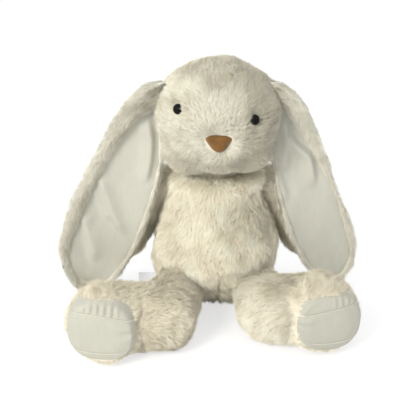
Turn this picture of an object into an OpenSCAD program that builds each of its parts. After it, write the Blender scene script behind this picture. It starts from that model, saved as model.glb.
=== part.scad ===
// Sitting plush rabbit with long lop ears, 275 mm tall as it sits.
// Bean bag in the seat, stuffed limbs sewn to the torso at round roots,
// cloth ears hung from the sides of the head.
// +X is the right side seen from the front, the rabbit faces -Y, +Z is up.
// The origin is on the floor, under the middle of the whole toy.

/* [Torso] */
// Radius of the torso at its widest, to the middle of the pile
torso_r = 65; // [60:0.5:66]
// Height of the torso up to the neck opening
torso_h = 160; // [156:0.5:162]
// Thickness of a fur panel, backing cloth and pile together
fur_t = 6; // [4:0.5:8]
// Thickness of the smooth seat panel
seat_t = 5; // [3:0.5:6]
// Radius of the flat the rabbit sits on
seat_r = 24; // [20:1:26]
// Height to which the bag of pellets fills the torso
pellet_h = 34; // [24:1:44]

/* [Head] */
// Radius of the head at the cheeks
head_r = 60; // [56:0.5:61]
// Height of the middle of the head above the floor
head_z = 216; // [215:0.5:219]
// Half the width of the centre gusset that runs over the head
gusset_w = 23; // [18:1:28]
// Diameter of the safety eyes
eye_d = 10; // [8:0.5:12]
// Width of the suede nose
nose_w = 25; // [20:1:28]

/* [Ears] */
// Length of an ear from its root to its tip
ear_len = 214; // [195:1:216]
// Thickness of the fur back of an ear
ear_t = 7; // [5:0.5:8]
// Thickness of the smooth lining that is let into it
lining_t = 2.4; // [1.5:0.1:3]
// Share of its full width that the left ear shows
ear_spread_l = 1; // [0.8:0.01:1]
// Share of its full width that the right ear shows, its edge curled back
ear_spread_r = 0.85; // [0.8:0.01:1]
// Forward lean of the hanging ears, degrees
ear_lean = 3; // [1:0.5:4]

/* [Arms] */
// Length of an arm from the middle of its root to the paw
arm_len = 116; // [100:1:118]
// Radius of an arm at the paw
arm_r = 21; // [17:0.5:21]
// Sideways hang of the arms from upright, degrees
arm_out = 30; // [28:0.5:38]
// Backward hang of the arms from upright, degrees
arm_back = 19.5; // [19.5:0.5:21]

/* [Legs] */
// Radius of a foot
foot_r = 37.5; // [35:0.5:38]
// Length of a foot from its back to the sole
foot_len = 50; // [44:1:52]
// Outward turn of a foot, degrees
foot_turn = 10; // [4:0.5:14]
// Radius of the smooth sole
sole_r = 31; // [26:0.5:32]

/* [Hidden] */

// the toy's own middle, moved so that the origin is under the whole toy's middle
shift = [7.6, 3, 0];

ty = 26;            // the torso's upright axis
neck = [0, 7, 164]; // middle of the neck ball
neck_r = 22;
head_c = [0, -3, head_z];
muzzle = [1, -36, head_z - 12];
muzzle_r = 27;
root = [63, -3, 236]; // middle of an ear's root
root_r = 12;
shoulder = [51, 29, 138];
arm_root = 16;
hip = [42, -20, 33];  // middle of a leg's root
leg_root = 26;
knee_l = [57, -73, 33.5]; // middle of the bend of the left leg, the right one is bent a little less
knee_r2 = [50, -63, 33.5];
knee_r = 33.5;
foot_l = [106, -66, 38]; // middle of the back of a foot
foot_r2 = [93, -58, 38];
gap = 0.8;          // clearance of a limb's root in its seat
wall = 4;           // cloth behind a seat

// ---- curves -------------------------------------------------------------
// smooth run through control points, s points to a span
function cr(a, b, c, d, t) = 0.5 * (2 * b + (c - a) * t + (2 * a - 5 * b + 4 * c - d) * t * t + (3 * b - a - 3 * c + d) * t * t * t);
function at(p, i) = p[min(max(i, 0), len(p) - 1)];
function run(p, s) = concat([for (i = [0 : len(p) - 2], k = [0 : s - 1]) cr(at(p, i - 1), p[i], p[i + 1], at(p, i + 2), k / s)], [p[len(p) - 1]]);
function ring(p, s) = [for (i = [0 : len(p) - 1], k = [0 : s - 1]) cr(p[(i + len(p) - 1) % len(p)], p[i], p[(i + 1) % len(p)], p[(i + 2) % len(p)], k / s)];
// a lathe profile of [radius, height] moved inward by g, its ends kept on the axis
function nrm(v) = v / norm(v);
function side(p, i) = let (d = nrm(at(p, i + 1) - at(p, i - 1))) [d[1], -d[0]];
function inward(p, g) = [for (i = [0 : len(p) - 1])
    i == 0 ? [0, p[0][1] + g] : i == len(p) - 1 ? [0, p[i][1] - g] :
    let (q = p[i] - g * side(p, i)) [max(q[0], 0.01), min(max(q[1], p[0][1] + g), p[len(p) - 1][1] - g)]];

// ---- forms --------------------------------------------------------------
torso_p = concat([[0, 0], [34, 0]], run([[40, 2], [50, 11], [torso_r - 5, 30], [torso_r, 68], [torso_r - 6, 104], [47, 138], [35, 152], [20, torso_h - 1]], 2), [[0, torso_h]]);
head_p = concat([[0, -54]], run([[16, -52.5], [36, -44], [52, -27], [head_r - 0.5, -6], [head_r - 0.5, 10], [51, 31], [34, 47], [14, 55]], 2), [[0, 56.5]]);
arm_p = concat([[0, -arm_root]], [for (a = [-70 : 20 : -10]) [arm_root * cos(a), arm_root * sin(a)]], run([[arm_root, 2], [17, 30], [19, 66], [arm_r, arm_len - 24], [arm_r - 4, arm_len - 9], [8, arm_len - 1.5]], 2), [[0, arm_len]]);
foot_p = concat([[0, 0]], run([[foot_r - 10, 1], [foot_r - 2, 7], [foot_r, 19], [foot_r - 1, 34], [foot_r - 4, foot_len - 5], [sole_r - 1, foot_len - 1.5]], 2), [[sole_r - 10, foot_len], [0, foot_len]]);

module lathe(p, g = 0) rotate_extrude($fn = 96) polygon(g == 0 ? p : inward(p, g));
module place() translate(shift) children();
// s is -1 for the left side and 1 for the right side
module torso_form(g = 0) translate([0, ty, 0]) lathe(torso_p, g);
module head_form(g = 0) { translate(head_c) lathe(head_p, g); translate(muzzle) sphere(r = muzzle_r - g, $fn = 64); }
module arm_at(s) translate([s * shoulder[0], shoulder[1], shoulder[2]]) rotate([arm_back, 0, 0]) rotate([0, s * -arm_out, 0]) rotate([180, 0, 0]) children();
module arm_form(s, e = 0) arm_at(s) lathe(arm_p, -e);
function mir(p, s) = [s * p[0], p[1], p[2]];
function knee(s) = s < 0 ? knee_l : knee_r2;
function foot(s) = s < 0 ? foot_l : foot_r2;
module rod(a, b, r) let (d = b - a) translate(a) rotate([0, acos(d[2] / norm(d)), atan2(d[1], d[0])]) cylinder(r = r, h = norm(d), $fn = 64);
module foot_at(s) translate(mir(foot(s), s)) rotate([90, 0, s * foot_turn]) children();
module leg_form(s, e = 0) {
    translate(mir(hip, s)) sphere(r = leg_root + e, $fn = 64);
    rod(mir(hip, s), mir(knee(s), s), leg_root - 1 + e);
    translate(mir(knee(s), s)) sphere(r = knee_r + e, $fn = 64);
    foot_at(s) lathe(foot_p, -e);
}
// room that a leg sweeps as it swings down from sitting to standing
module leg_room(s, e) {
    translate(mir(hip, s)) sphere(r = leg_root + e, $fn = 64);
    translate(mir(knee(s), s)) sphere(r = knee_r + e, $fn = 64);
    rod(mir(hip, s), mir(knee(s), s), leg_root - 1 + e);
    translate([s < 0 ? -100 : hip[0] - leg_root - e - 0.6, hip[1] - 80, -1]) cube([100 - hip[0] + leg_root + e + 0.6, 80 + leg_root + e + 0.6, hip[2] + e - gap]);
}
module ear_plane(s) translate([s * root[0], root[1], root[2]]) rotate([ear_lean, 0, 0]) rotate([90, 0, 0]) mirror([s < 0 ? 1 : 0, 0, 0]) children();
k = ear_len / 208;
ear_c = [[2, 11], [13, 3], [27, -12 * k], [42, -36 * k], [59, -66 * k], [80, -103 * k], [95, -134 * k], [101, -160 * k], [97, -183 * k], [83, -201 * k], [64, -208 * k], [45, -198 * k], [28, -174 * k], [15, -146 * k], [4, -116 * k], [-4, -90 * k], [-5, -68 * k], [2, -42 * k], [2.5, -20], [0, -11]];
lining_c = [[12, -18], [24, -28 * k], [37, -48 * k], [50, -74 * k], [69, -107 * k], [83, -137 * k], [89, -160 * k], [86, -178 * k], [75, -192 * k], [62, -198 * k], [49, -190 * k], [34, -168 * k], [22, -142 * k], [11, -112 * k], [3, -88 * k], [2, -68 * k], [8, -44 * k], [9, -26]];
// a clockwise outline grown by e
function grown(p, e) = [for (i = [0 : len(p) - 1]) let (d = nrm(p[(i + 1) % len(p)] - p[(i + len(p) - 1) % len(p)])) p[i] + e * [-d[1], d[0]]];
function spread(p, f) = [for (q = p) [q[0] > 0 ? q[0] * f : q[0], q[1]]];
module ear_slot(s, e) ear_plane(s) cylinder(r = root_r + e, h = ear_t + 2 * e, center = true, $fn = 64);
module half(s) translate([s < 0 ? -200 : 0, -200, -10]) cube([200, 400, 400]);

module torso_outer() difference() {
    torso_form();
    for (s = [-1, 1]) { arm_form(s, 1); leg_room(s, gap); }
    translate(neck) sphere(r = neck_r + gap, $fn = 64);
}
module torso_inner(g) difference() {
    torso_form(fur_t + g);
    for (s = [-1, 1]) { arm_form(s, 1 + wall + g); leg_room(s, gap + wall + g); }
    translate(neck) sphere(r = neck_r + gap + wall + g, $fn = 64);
}
module torso_shell() difference() {
    torso_outer();
    torso_inner(0);
    translate([0, ty + 10, -1]) cylinder(r = seat_r + 0.1, h = fur_t + 1.1, $fn = 96);
}
module head_outer() difference() {
    head_form();
    translate(neck) sphere(r = neck_r + gap, $fn = 64);
    for (s = [-1, 1]) ear_slot(s, gap);
}
module head_inner(g) difference() {
    head_form(fur_t + g);
    translate(neck) sphere(r = neck_r + gap + wall + g, $fn = 64);
    for (s = [-1, 1]) ear_slot(s, gap + wall + g);
}
// places of the eyes: middle of the eye on the cloth, and the way it looks
eye_l = [-39.5, -44.5, 233];
eye_r = [32, -53, 224];
module look(p) let (d = p - head_c + [0, 0, -2]) translate(p) rotate([0, acos(d[2] / norm(d)), atan2(d[1], d[0])]) children();
module eye_cut(p, e = 0) look(p) { translate([0, 0, -2.5]) cylinder(r = eye_d / 2 + 0.3, h = 12, $fn = 48); translate([0, 0, -15 - e]) cylinder(r = 1.9, h = 20, $fn = 32); }
module eye_back(p) look(p) { translate([0, 0, -16]) cylinder(r = 2.2, h = 12, $fn = 32); translate([0, 0, -9.8]) cylinder(r = 9, h = 6.8, $fn = 48); }
module nose_at() translate([-1.5, -60.7, head_z - 12]) rotate([90 - 14, 0, 0]) children();
nose_c = [[-nose_w / 2, 5.5], [-nose_w / 2 + 5, 8.2], [0, 9], [nose_w / 2 - 5, 8.2], [nose_w / 2, 5.5], [nose_w / 2 - 3.5, 0], [5, -5.5], [0, -8], [-5, -5.5], [-nose_w / 2 + 3.5, 0]];
module head_shell() difference() {
    head_outer();
    head_inner(0);
    eye_cut(eye_l);
    eye_cut(eye_r);
    nose_at() translate([0, 0, -3]) linear_extrude(20) polygon([for (q = ring(nose_c, 3)) q * 1.03]);
}
tail_c = [0, ty + 66, 44];

// ---- torso --------------------------------------------------------------
module tail_ball(r) translate(tail_c) rotate([90, 0, 0]) sphere(r = r, $fn = 64);
module seat_panel() color("#e9e2d0") place() difference() {
    translate([0, ty + 10, 0]) cylinder(r = seat_r, h = seat_t, $fn = 96);
    for (s = [-1, 1]) leg_room(s, gap);
}
module belly_panel_left() color("#ece2c8") place() intersection() { torso_shell(); translate([-100, -100, -1]) cube([100, 100 + ty, 200]); }
module belly_panel_right() color("#ece2c8") place() intersection() { torso_shell(); translate([0, -100, -1]) cube([100, 100 + ty, 200]); }
module back_panel() color("#e6dcc4") place() intersection() { torso_shell(); translate([-100, ty, -1]) cube([200, 100, 200]); }
module torso_stuffing() color("#fafafa") place() intersection() { torso_inner(0.3); translate([-100, -100, pellet_h + 0.3]) cube([200, 300, 200]); }
module pellet_bag() color("#d8d8d8") place() intersection() { torso_inner(0.3); translate([-100, -100, fur_t + 0.4]) cube([200, 300, pellet_h - fur_t - 0.4]); }
module tail_cover() color("#ece2c8") place() difference() { tail_ball(21); tail_ball(16); translate([0, 0.4, 0]) torso_form(); }
module tail_stuffing() color("#fafafa") place() difference() { tail_ball(15.7); translate([0, 0.4, 0]) torso_form(); }
module care_label() color("#dfe3e6") place() translate([-torso_r - 19, ty - 6, 21]) cube([23.5, 0.8, 12]);
// ---- neck and head ------------------------------------------------------
module neck_stuffing() color("#fafafa") place() translate(neck) sphere(r = neck_r, $fn = 64);
module head_panel_left() color("#dedad0") place() intersection() { head_shell(); translate([-100, -120, 100]) cube([100 - gusset_w, 240, 220]); }
module head_panel_right() color("#dedad0") place() intersection() { head_shell(); translate([gusset_w, -120, 100]) cube([100, 240, 220]); }
module head_gusset() color("#e2ddcf") place() intersection() { head_shell(); translate([-gusset_w, -120, 100]) cube([2 * gusset_w, 240, 220]); }
module head_stuffing() color("#fafafa") place() difference() { head_inner(0.3); eye_back(eye_l); eye_back(eye_r); nose_at() translate([0, 0, -3.4]) linear_extrude(20) polygon([for (q = ring(nose_c, 3)) q * 1.03]); }
module eye(p) look(p) {
    intersection() { translate([0, 0, -2.2]) sphere(r = eye_d / 2 + 0.2, $fn = 64); translate([0, 0, -2.2]) cylinder(r = eye_d / 2, h = 10, $fn = 64); }
    translate([0, 0, -14]) cylinder(r = 1.6, h = 12.5, $fn = 32);
}
module washer(p) look(p) translate([0, 0, -9.2]) difference() { cylinder(r = 8, h = 1.4, $fn = 64); translate([0, 0, -1]) cylinder(r = 1.7, h = 4, $fn = 32); }
module eye_left() color("#0b0b0b") place() eye(eye_l);
module eye_right() color("#0b0b0b") place() eye(eye_r);
module eye_washer_left() color("#e4e4e0") place() washer(eye_l);
module eye_washer_right() color("#e4e4e0") place() washer(eye_r);
module nose() color("#b07c38") place() nose_at() translate([0, 0, -2.8]) linear_extrude(5.6) polygon(ring(nose_c, 3));
// ---- ears ---------------------------------------------------------------
module ear_back(s, f) difference() {
    ear_plane(s) translate([0, 0, -ear_t / 2]) union() { linear_extrude(ear_t) polygon(ring(spread(ear_c, f), 3)); cylinder(r = root_r, h = ear_t, $fn = 64); }
    ear_plane(s) translate([0, 0, ear_t / 2 - lining_t - 0.1]) linear_extrude(10) polygon(grown(ring(spread(lining_c, f), 3), 0.3));
}
module ear_lining(s, f) ear_plane(s) translate([0, 0, ear_t / 2 - lining_t]) linear_extrude(lining_t) polygon(ring(spread(lining_c, f), 3));
module ear_back_left() color("#e4dac2") place() ear_back(-1, ear_spread_l);
module ear_back_right() color("#e4dac2") place() ear_back(1, ear_spread_r);
module ear_lining_left() color("#eeece0") place() ear_lining(-1, ear_spread_l);
module ear_lining_right() color("#eeece0") place() ear_lining(1, ear_spread_r);
// ---- arms ---------------------------------------------------------------
module arm_cover(s) difference() { arm_form(s); arm_form(s, -fur_t + 1); }
module arm_cover_left() color("#e0d4b8") place() arm_cover(-1);
module arm_cover_right() color("#e0d4b8") place() arm_cover(1);
module arm_stuffing_left() color("#fafafa") place() arm_form(-1, -fur_t + 0.7);
module arm_stuffing_right() color("#fafafa") place() arm_form(1, -fur_t + 0.7);
// ---- legs ---------------------------------------------------------------
module sole_cut(e = 0) translate([0, 0, foot_len - 4.6 - e]) cylinder(r = sole_r - 1 + e, h = 20, $fn = 96);
module leg_cover(s) difference() { leg_form(s); leg_form(s, -fur_t); foot_at(s) sole_cut(0.1); }
module leg_cover_left() color("#ece2c8") place() leg_cover(-1);
module leg_cover_right() color("#ece2c8") place() leg_cover(1);
module foot_sole(s) intersection() { foot_at(s) lathe(foot_p); foot_at(s) sole_cut(); }
module foot_sole_left() color("#f2efe2") place() foot_sole(-1);
module foot_sole_right() color("#f2efe2") place() foot_sole(1);
module leg_stuffing_left() color("#fafafa") place() leg_form(-1, -fur_t - 0.6);
module leg_stuffing_right() color("#fafafa") place() leg_form(1, -fur_t - 0.6);

seat_panel();
belly_panel_left();
belly_panel_right();
back_panel();
torso_stuffing();
pellet_bag();
tail_cover();
tail_stuffing();
care_label();
neck_stuffing();
head_panel_left();
head_panel_right();
head_gusset();
head_stuffing();
eye_left();
eye_right();
eye_washer_left();
eye_washer_right();
nose();
ear_back_left();
ear_back_right();
ear_lining_left();
ear_lining_right();
arm_cover_left();
arm_cover_right();
arm_stuffing_left();
arm_stuffing_right();
leg_cover_left();
leg_cover_right();
foot_sole_left();
foot_sole_right();
leg_stuffing_left();
leg_stuffing_right();
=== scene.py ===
import math

import bpy
import numpy as np
from mathutils import Matrix, Vector

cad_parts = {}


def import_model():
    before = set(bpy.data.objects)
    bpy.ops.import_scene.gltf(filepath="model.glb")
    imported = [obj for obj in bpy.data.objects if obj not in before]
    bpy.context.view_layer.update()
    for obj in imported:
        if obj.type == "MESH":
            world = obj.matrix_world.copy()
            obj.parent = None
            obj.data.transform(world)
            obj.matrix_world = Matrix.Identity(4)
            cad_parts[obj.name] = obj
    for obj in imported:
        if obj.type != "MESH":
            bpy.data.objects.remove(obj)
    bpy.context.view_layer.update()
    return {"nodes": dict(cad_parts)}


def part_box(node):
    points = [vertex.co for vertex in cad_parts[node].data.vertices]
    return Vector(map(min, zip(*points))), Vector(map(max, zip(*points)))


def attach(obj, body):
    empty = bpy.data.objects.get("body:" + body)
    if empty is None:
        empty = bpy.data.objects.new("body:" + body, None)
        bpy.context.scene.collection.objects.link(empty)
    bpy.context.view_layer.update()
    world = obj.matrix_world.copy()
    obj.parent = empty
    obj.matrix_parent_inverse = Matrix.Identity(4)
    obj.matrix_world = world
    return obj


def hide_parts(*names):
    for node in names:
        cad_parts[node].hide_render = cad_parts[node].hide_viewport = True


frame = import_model()
nodes = frame["nodes"]
MM = 0.001

# ---------------------------------------------------------------- the frame
# Lengths are in millimetres here and turn into metres where a mesh is made.
# The forms repeat the ones of the CAD source, moved so that they lie on its nodes.


def middle(node):
    lo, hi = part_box(node)
    return np.array((lo + hi) / 2) / MM


SH = middle("neck_stuffing") - np.array([0.0, 7.0, 164.0])
TY = 26.0
HEAD_C = np.array([0, -3, 216.0])
MUZZLE = np.array([1, -36, 204.0])
ROOT = np.array([63, -3, 236.0])
EYE = {-1: np.array([-39.5, -44.5, 233.0]), 1: np.array([32, -53, 224.0])}
NOSE = np.array([-1.5, -60.7, 204.0])
K = 214 / 208


# ---------------------------------------------------------------- numbers
def h32(i, seed):
    h = (i[:, 0] * 374761393 + i[:, 1] * 668265263 + i[:, 2] * 2147483647 + seed * 1274126177) & 0xFFFFFFFF
    h = ((h ^ (h >> 13)) * 1274126177) & 0xFFFFFFFF
    h = ((h ^ (h >> 16)) * 2246822519) & 0xFFFFFFFF
    return (h ^ (h >> 15)) & 0xFFFFFFFF


def vnoise(p, cell, seed=0):
    """Smooth value noise from -1 to 1 with bumps about cell millimetres wide."""
    q = np.asarray(p, float) / cell
    i = np.floor(q).astype(np.int64)
    f = q - i
    f = f * f * (3 - 2 * f)
    out = np.zeros(len(q))
    for dx in (0, 1):
        for dy in (0, 1):
            for dz in (0, 1):
                w = (f[:, 0] if dx else 1 - f[:, 0]) * (f[:, 1] if dy else 1 - f[:, 1]) * (f[:, 2] if dz else 1 - f[:, 2])
                out += w * (h32(i + np.array([dx, dy, dz]), seed) / 2147483647.5 - 1)
    return out


def vnoise3(p, cell, seed=0):
    return np.stack([vnoise(p, cell, seed + k * 17) for k in range(3)], 1)


def worley(p, cell, seed=0):
    """The nearest tuft's middle, and how far it is in cells."""
    q = np.asarray(p, float) / cell
    i = np.floor(q).astype(np.int64)
    best, near = np.full(len(q), 1e9), np.zeros_like(q)
    for dx in (-1, 0, 1):
        for dy in (-1, 0, 1):
            for dz in (-1, 0, 1):
                c = i + np.array([dx, dy, dz])
                g = c + np.stack([h32(c, seed + k) / 4294967296.0 for k in range(3)], 1)
                d = ((q - g) ** 2).sum(1)
                m = d < best
                best[m], near[m] = d[m], g[m]
    return near * cell, np.sqrt(best)


def unit(v):
    return v / np.maximum(np.linalg.norm(v, axis=-1, keepdims=True), 1e-9)


def smooth(a, b, x):
    t = np.clip((x - a) / (b - a), 0, 1)
    return t * t * (3 - 2 * t)


def rot(axis, deg):
    return np.array(Matrix.Rotation(math.radians(deg), 3, axis))


# ---------------------------------------------------------------- meshes
def build(name, V, groups, mats, shade=True):
    """groups: (faces, material index) with faces as an N x 3 or N x 4 array, V in millimetres."""
    me = bpy.data.meshes.new(name)
    V = np.asarray(V, float) * MM
    groups = [(np.asarray(f, np.int64), m) for f, m in groups if len(f)]
    me.vertices.add(len(V))
    me.vertices.foreach_set("co", V.astype(np.float32).ravel())
    me.loops.add(int(sum(f.size for f, _ in groups)))
    me.loops.foreach_set("vertex_index", np.concatenate([f.ravel() for f, _ in groups]).astype(np.int32))
    sizes = np.concatenate([np.full(len(f), f.shape[1]) for f, _ in groups])
    me.polygons.add(len(sizes))
    me.polygons.foreach_set("loop_start", (np.cumsum(sizes) - sizes).astype(np.int32))
    me.polygons.foreach_set("material_index", np.concatenate([np.full(len(f), m) for f, m in groups]).astype(np.int32))
    me.update(calc_edges=True)
    if shade:
        me.shade_smooth()
    for m in mats:
        me.materials.append(m)
    o = bpy.data.objects.new(name, me)
    bpy.context.scene.collection.objects.link(o)
    return o


def lathe(profile, n=72):
    """A closed form round z from [radius, height] points, its two ends on the axis."""
    p = np.array(profile, float)
    a = np.arange(n) * 2 * math.pi / n
    ring = np.stack([np.cos(a), np.sin(a)], 1)
    V = [np.array([[0, 0, p[0, 1]]])]
    for r, z in p[1:-1]:
        V.append(np.concatenate([ring * r, np.full((n, 1), z)], 1))
    V.append(np.array([[0, 0, p[-1, 1]]]))
    V = np.concatenate(V)
    k = len(p) - 2
    j, j2 = np.arange(n), (np.arange(n) + 1) % n
    F = [np.stack([np.zeros(n, int), 1 + j2, 1 + j], 1)]
    for i in range(k - 1):
        a0, b0 = 1 + i * n, 1 + (i + 1) * n
        F += [np.stack([a0 + j, a0 + j2, b0 + j2], 1), np.stack([a0 + j, b0 + j2, b0 + j], 1)]
    last = 1 + (k - 1) * n
    F.append(np.stack([last + j, last + j2, np.full(n, len(V) - 1)], 1))
    return V, np.concatenate(F)


def ball(c, r, n=40):
    t = np.linspace(-90, 90, n // 2 + 1)
    V, F = lathe([[math.cos(math.radians(x)), math.sin(math.radians(x))] for x in t], n)
    return V * np.asarray(r) + np.asarray(c), F


def rod(a, b, ra, rb):
    a, b = np.asarray(a, float), np.asarray(b, float)
    L = np.linalg.norm(b - a)
    V, F = lathe([[0, 0], [ra * 0.98, 0], [ra, 0.5], [rb, L - 0.5], [rb * 0.98, L], [0, L]], 48)
    m = np.array(Vector((b - a) / L).to_track_quat("Z", "Y").to_matrix())
    return V @ m.T + a, F


def merged(parts):
    V, F, n = [], [], 0
    for v, f in parts:
        V.append(v)
        F.append(f + n)
        n += len(v)
    return np.concatenate(V), np.concatenate(F)


def spline(points, n):
    """Catmull-Rom through points, n steps a span."""
    p = np.array(points, float)
    q = np.concatenate([[p[0]], p, [p[-1]]])
    out = []
    for i in range(len(p) - 1):
        a, b, c, d = q[i : i + 4]
        for t in np.arange(n) / n:
            out.append(0.5 * (2 * b + (c - a) * t + (2 * a - 5 * b + 4 * c - d) * t * t + (3 * b - a - 3 * c + d) * t**3))
    out.append(p[-1])
    return np.array(out)


def remesh(parts, voxel):
    V, F = merged(parts)
    o = build("tmp", V, [(F, 0)], [])
    m = o.modifiers.new("r", "REMESH")
    m.mode, m.voxel_size, m.adaptivity = "VOXEL", voxel * MM, 0
    e = o.evaluated_get(bpy.context.evaluated_depsgraph_get())
    me = e.to_mesh()
    V = np.zeros(len(me.vertices) * 3, np.float32)
    me.vertices.foreach_get("co", V)
    me.calc_loop_triangles()
    L = np.zeros(len(me.loops), np.int32)
    me.loops.foreach_get("vertex_index", L)
    e.to_mesh_clear()
    old = o.data
    bpy.data.objects.remove(o)
    bpy.data.meshes.remove(old)
    return V.reshape(-1, 3).astype(float) / MM, L.reshape(-1, 4).astype(np.int64)


def relax(V, F, n, lam=0.5, weight=None):
    a, b = F.ravel(), np.roll(F, -1, axis=1).ravel()
    i, j = np.concatenate([a, b]), np.concatenate([b, a])
    deg = np.maximum(np.bincount(i, minlength=len(V)), 1)[:, None]
    for _ in range(n):
        s = np.stack([np.bincount(i, V[j, k], minlength=len(V)) for k in range(3)], 1)
        step = lam * (s / deg - V)
        V = V + (step if weight is None else step * weight[:, None])
    return V


def normals(V, F):
    if F.shape[1] == 4:
        n = np.cross(V[F[:, 2]] - V[F[:, 0]], V[F[:, 3]] - V[F[:, 1]])
    else:
        n = np.cross(V[F[:, 1]] - V[F[:, 0]], V[F[:, 2]] - V[F[:, 0]])
    out = np.zeros_like(V)
    for c in range(F.shape[1]):
        for k in range(3):
            out[:, k] += np.bincount(F[:, c], n[:, k], minlength=len(V))
    return unit(out)


def subset(V, F, keep):
    """The faces that keep marks, with only their own vertices."""
    F = F[keep]
    used, inv = np.unique(F, return_inverse=True)
    return V[used], inv.reshape(F.shape), used


def scatter(V, N, F, density, weight, rng):
    """Random points on the faces, density a square millimetre times the weight there."""
    T = F if F.shape[1] == 3 else np.concatenate([F[:, [0, 1, 2]], F[:, [0, 2, 3]]])
    area = np.linalg.norm(np.cross(V[T[:, 1]] - V[T[:, 0]], V[T[:, 2]] - V[T[:, 0]]), axis=1) / 2
    w = area * weight[T].mean(1)
    n = int(density * w.sum())
    pick = T[rng.choice(len(T), n, p=w / w.sum())]
    a, b = rng.random(n), rng.random(n)
    flip = a + b > 1
    a[flip], b[flip] = 1 - a[flip], 1 - b[flip]
    bary = np.stack([1 - a - b, a, b], 1)[:, :, None]
    return (V[pick] * bary).sum(1), unit((N[pick] * bary).sum(1))


# ---------------------------------------------------------------- materials
def material(name):
    m = bpy.data.materials.new(name)
    m.use_nodes = True
    nt = m.node_tree
    nt.nodes.clear()
    out = nt.nodes.new("ShaderNodeOutputMaterial")
    b = nt.nodes.new("ShaderNodeBsdfPrincipled")
    nt.links.new(b.outputs[0], out.inputs[0])
    return m, nt, b


def node(nt, kind, **values):
    n = nt.nodes.new(kind)
    for k, v in values.items():
        if k.startswith("_"):
            n.inputs[k[1:].replace("_", " ")].default_value = v
        else:
            setattr(n, k, v)
    return n


def ramp(nt, source, stops):
    r = nt.nodes.new("ShaderNodeValToRGB")
    e = r.color_ramp.elements
    while len(e) < len(stops):
        e.new(0.5)
    for el, (pos, col) in zip(e, stops):
        el.position, el.color = pos, (*col, 1)
    nt.links.new(source, r.inputs[0])
    return r.outputs[0]


def noise(nt, co, scale, detail=3.0, rough=0.55, stretch=None):
    n = node(nt, "ShaderNodeTexNoise", _Scale=scale, _Detail=detail, _Roughness=rough)
    if stretch:
        mp = node(nt, "ShaderNodeMapping")
        mp.inputs["Scale"].default_value = stretch
        nt.links.new(co, mp.inputs["Vector"])
        co = mp.outputs["Vector"]
    nt.links.new(co, n.inputs["Vector"])
    return n.outputs["Fac"]


def mul(c, f):
    return tuple(min(x * f, 1.0) for x in c)


def bumped(nt, b, height, strength, distance):
    bp = node(nt, "ShaderNodeBump", _Strength=strength, _Distance=distance)
    nt.links.new(height, bp.inputs["Height"])
    nt.links.new(bp.outputs["Normal"], b.inputs["Normal"])


def added(nt, a, b, fa, fb):
    m1 = node(nt, "ShaderNodeMath", operation="MULTIPLY")
    m1.inputs[1].default_value = fa
    m2 = node(nt, "ShaderNodeMath", operation="MULTIPLY_ADD")
    m2.inputs[1].default_value = fb
    nt.links.new(a, m1.inputs[0])
    nt.links.new(b, m2.inputs[0])
    nt.links.new(m1.outputs[0], m2.inputs[2])
    return m2.outputs[0]


def skin_material(name, colour):
    """The knitted backing and the dense under-pile, mottled, with a fine nap."""
    m, nt, b = material(name)
    co = node(nt, "ShaderNodeTexCoord").outputs["Object"]
    big, fine = noise(nt, co, 55, 3), noise(nt, co, 900, 4, 0.7)
    mix = added(nt, big, fine, 0.65, 0.35)
    nt.links.new(ramp(nt, mix, [(0.3, mul(colour, 0.86)), (0.5, mul(colour, 0.96)), (0.7, mul(colour, 1.0))]), b.inputs["Base Color"])
    b.inputs["Roughness"].default_value = 0.95
    b.inputs["Sheen Weight"].default_value = 0.35
    b.inputs["Sheen Roughness"].default_value = 0.6
    bumped(nt, b, fine, 0.8, 0.0012)
    return m


def pile_material(name, colour, seed):
    """One shade of the hair. The shades of a piece are spread over its strands by tuft, and on some pieces also by
    painted shade that darkens or lightens the pile by place.
    """
    m, nt, b = material(name)
    b.inputs["Base Color"].default_value = (*colour, 1)
    b.inputs["Roughness"].default_value = 0.72
    b.inputs["Specular IOR Level"].default_value = 0.28
    b.inputs["Sheen Weight"].default_value = 0.3
    b.inputs["Sheen Roughness"].default_value = 0.5
    b.inputs["Sheen Tint"].default_value = (1.0, 0.97, 0.9, 1)
    return m


def velboa_material(name, colour, weave=1.0):
    """Short smooth plush: a fine nap, soft cloudy brushing, a satin sheen."""
    m, nt, b = material(name)
    co = node(nt, "ShaderNodeTexCoord").outputs["Object"]
    cloud, nap = noise(nt, co, 42, 4, 0.6, (1, 1, 0.6)), noise(nt, co, 1500, 3, 0.7)
    brush = noise(nt, co, 260, 3, 0.6, (1, 1, 0.35))
    mix = added(nt, cloud, brush, 0.6, 0.4)
    nt.links.new(ramp(nt, mix, [(0.3, mul(colour, 0.9)), (0.5, mul(colour, 0.97)), (0.7, mul(colour, 1.03))]), b.inputs["Base Color"])
    rg = node(nt, "ShaderNodeMapRange")
    rg.inputs["To Min"].default_value, rg.inputs["To Max"].default_value = 0.55, 0.78
    nt.links.new(brush, rg.inputs["Value"])
    nt.links.new(rg.outputs["Result"], b.inputs["Roughness"])
    b.inputs["Sheen Weight"].default_value = 0.45
    b.inputs["Sheen Roughness"].default_value = 0.35
    b.inputs["Specular IOR Level"].default_value = 0.35
    bumped(nt, b, added(nt, brush, nap, 0.5, 0.5 * weave), 0.35, 0.0006)
    return m


# the colours, and each place's own darker and lighter shade of them; the shades are picked at random by tuft, and on
# the neck, head and legs also by painted shade
WARM = (0.96, 0.90, 0.74)
COOL = (0.75, 0.715, 0.59)
EAR = (0.73, 0.70, 0.595)
LIMB = (0.87, 0.815, 0.67)
SHADES = {}


def shades(key, colour, spread=0.13):
    if key not in SHADES:
        out = []
        for k, f in enumerate((1 - 1.3 * spread, 1 - 0.5 * spread, 1.0, 1 + 0.5 * spread)):
            warm = (1.0, 1.0 - 0.012 * (1.5 - k), 1.0 - 0.035 * (1.5 - k))
            out.append(pile_material(f"{key}_pile_{k}", tuple(min(c * f * w, 0.96) for c, w in zip(colour, warm)), k))
        SHADES[key] = (skin_material(f"{key}_cloth", mul(colour, 0.97)), out)
    return SHADES[key]


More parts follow.
